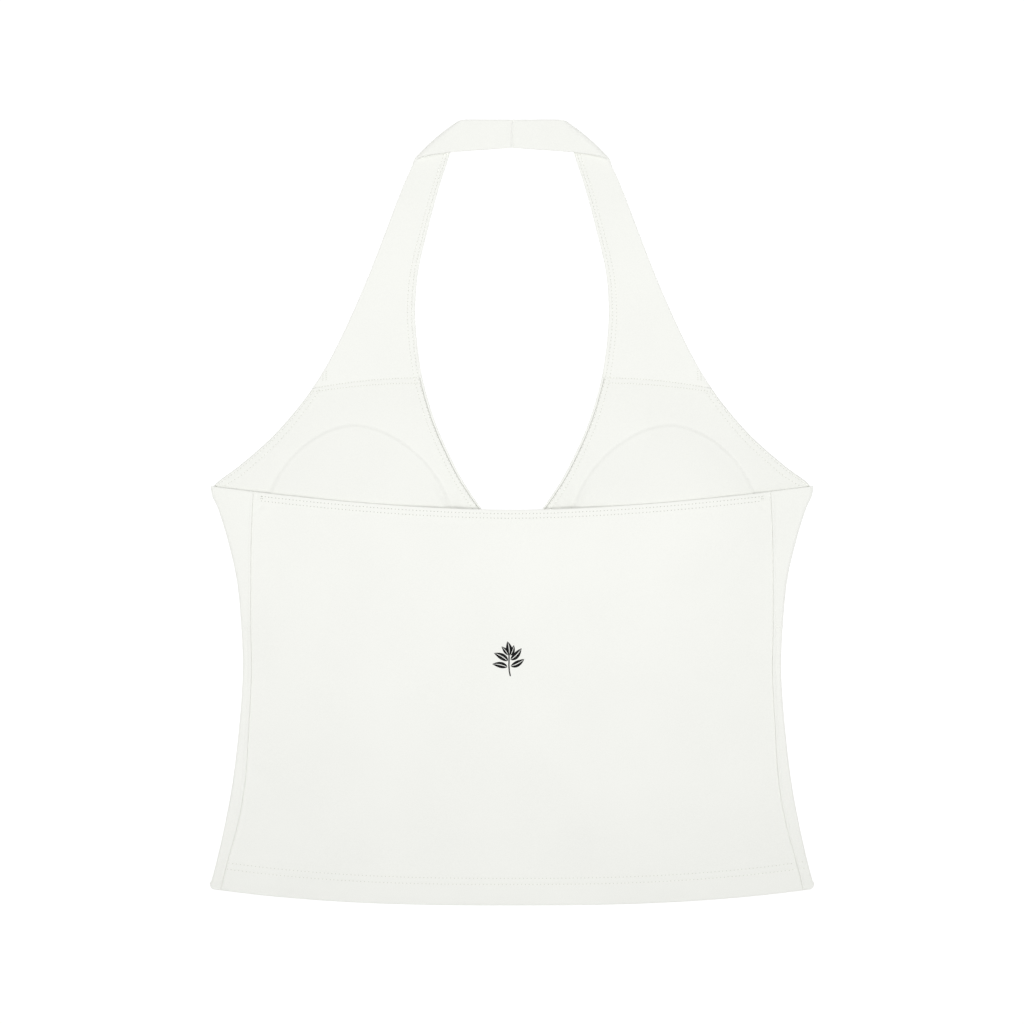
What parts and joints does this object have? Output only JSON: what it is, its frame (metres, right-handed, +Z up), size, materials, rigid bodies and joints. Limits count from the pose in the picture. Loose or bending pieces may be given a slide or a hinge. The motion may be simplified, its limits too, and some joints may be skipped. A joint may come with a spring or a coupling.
{
  "type": "halter neck top",
  "caption": "Cropped halter neck top lying flat, back up, with self-lined straps joined as a neck band, a wrapped front and a padded bust lining.",
  "frame": {"origin": "on the surface that the top lies on, under the middle of its outline", "axes": "+X to the right seen from above, +Y from the hem to the neck band, +Z up from the front that lies on the surface to the back"},
  "size_m": [0.411, 0.534, 0.008],
  "materials": {
    "knit": "smooth fine off-white jersey knit, matt with a faint sheen",
    "lining": "smooth fine off-white lining knit, matt",
    "foam": "soft moulded foam covered in thin knit, matt"
  },
  "bodies": {
    "root": {"front": "knit", "back": "knit", "strap_left": "knit", "strap_right": "knit", "lining_left": "lining", "lining_right": "lining", "pad_left": "foam", "pad_right": "foam"}
  },
  "joints": []
}
